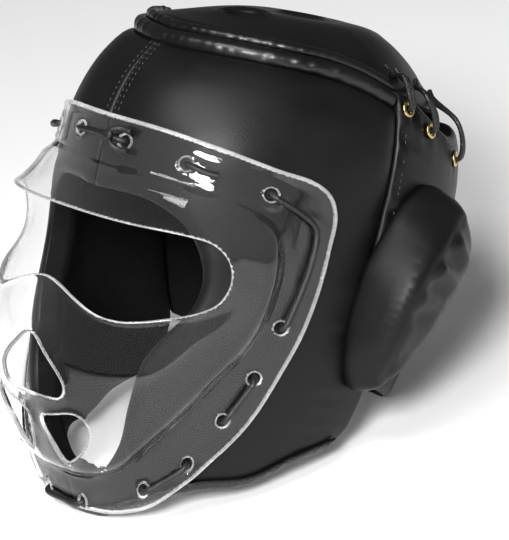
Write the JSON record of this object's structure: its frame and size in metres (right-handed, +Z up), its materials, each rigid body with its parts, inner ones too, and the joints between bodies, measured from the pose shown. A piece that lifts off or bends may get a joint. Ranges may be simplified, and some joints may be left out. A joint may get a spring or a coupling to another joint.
{
  "type": "boxing head guard with clear face shield",
  "caption": "Padded black leather head guard with a laced-on clear plastic face shield, rounded ear pads, vented crown and laced open back.",
  "frame": {"origin": "centre of the bounding box at the floor that the guard stands on", "axes": "+Z up from the floor, front of the guard towards -Y, wearer's left towards +X; the guard stands pitched back on its chin and nape"},
  "size_m": [0.2676, 0.2954, 0.2457],
  "materials": {
    "black_leather": "matte grained",
    "clear_shield": "glossy clear polycarbonate",
    "black_cord": "braided",
    "brass": "polished"
  },
  "bodies": {
    "root": {"side_panel_left": "black_leather", "side_panel_right": "black_leather", "rear_panel_left": "black_leather", "rear_panel_right": "black_leather", "crown_band": "black_leather", "crown_welt": "black_leather", "crown_panel": "black_leather", "ear_pad_left": "black_leather", "ear_pad_right": "black_leather", "face_shield": "clear_shield", "shield_lace_brow": "black_cord", "shield_lace_knot_left": "black_cord", "shield_lace_knot_right": "black_cord", "shield_lace_temple_left": "black_cord", "shield_lace_temple_right": "black_cord", "shield_lace_cheek_left": "black_cord", "shield_lace_cheek_right": "black_cord", "shield_lace_jaw_left": "black_cord", "shield_lace_jaw_right": "black_cord", "shield_lace_chin": "black_cord", "eyelet_1_left": "brass", "eyelet_1_right": "brass", "eyelet_2_left": "brass", "eyelet_2_right": "brass", "eyelet_3_left": "brass", "eyelet_3_right": "brass", "rear_lace_1_left": "black_cord", "rear_lace_1_right": "black_cord", "rear_lace_2_left": "black_cord", "rear_lace_2_right": "black_cord", "rear_lace_3_left": "black_cord", "rear_lace_3_right": "black_cord", "back_strap": "black_leather", "jaw_hem_left": "black_leather", "jaw_hem_right": "black_leather"}
  },
  "joints": []
}
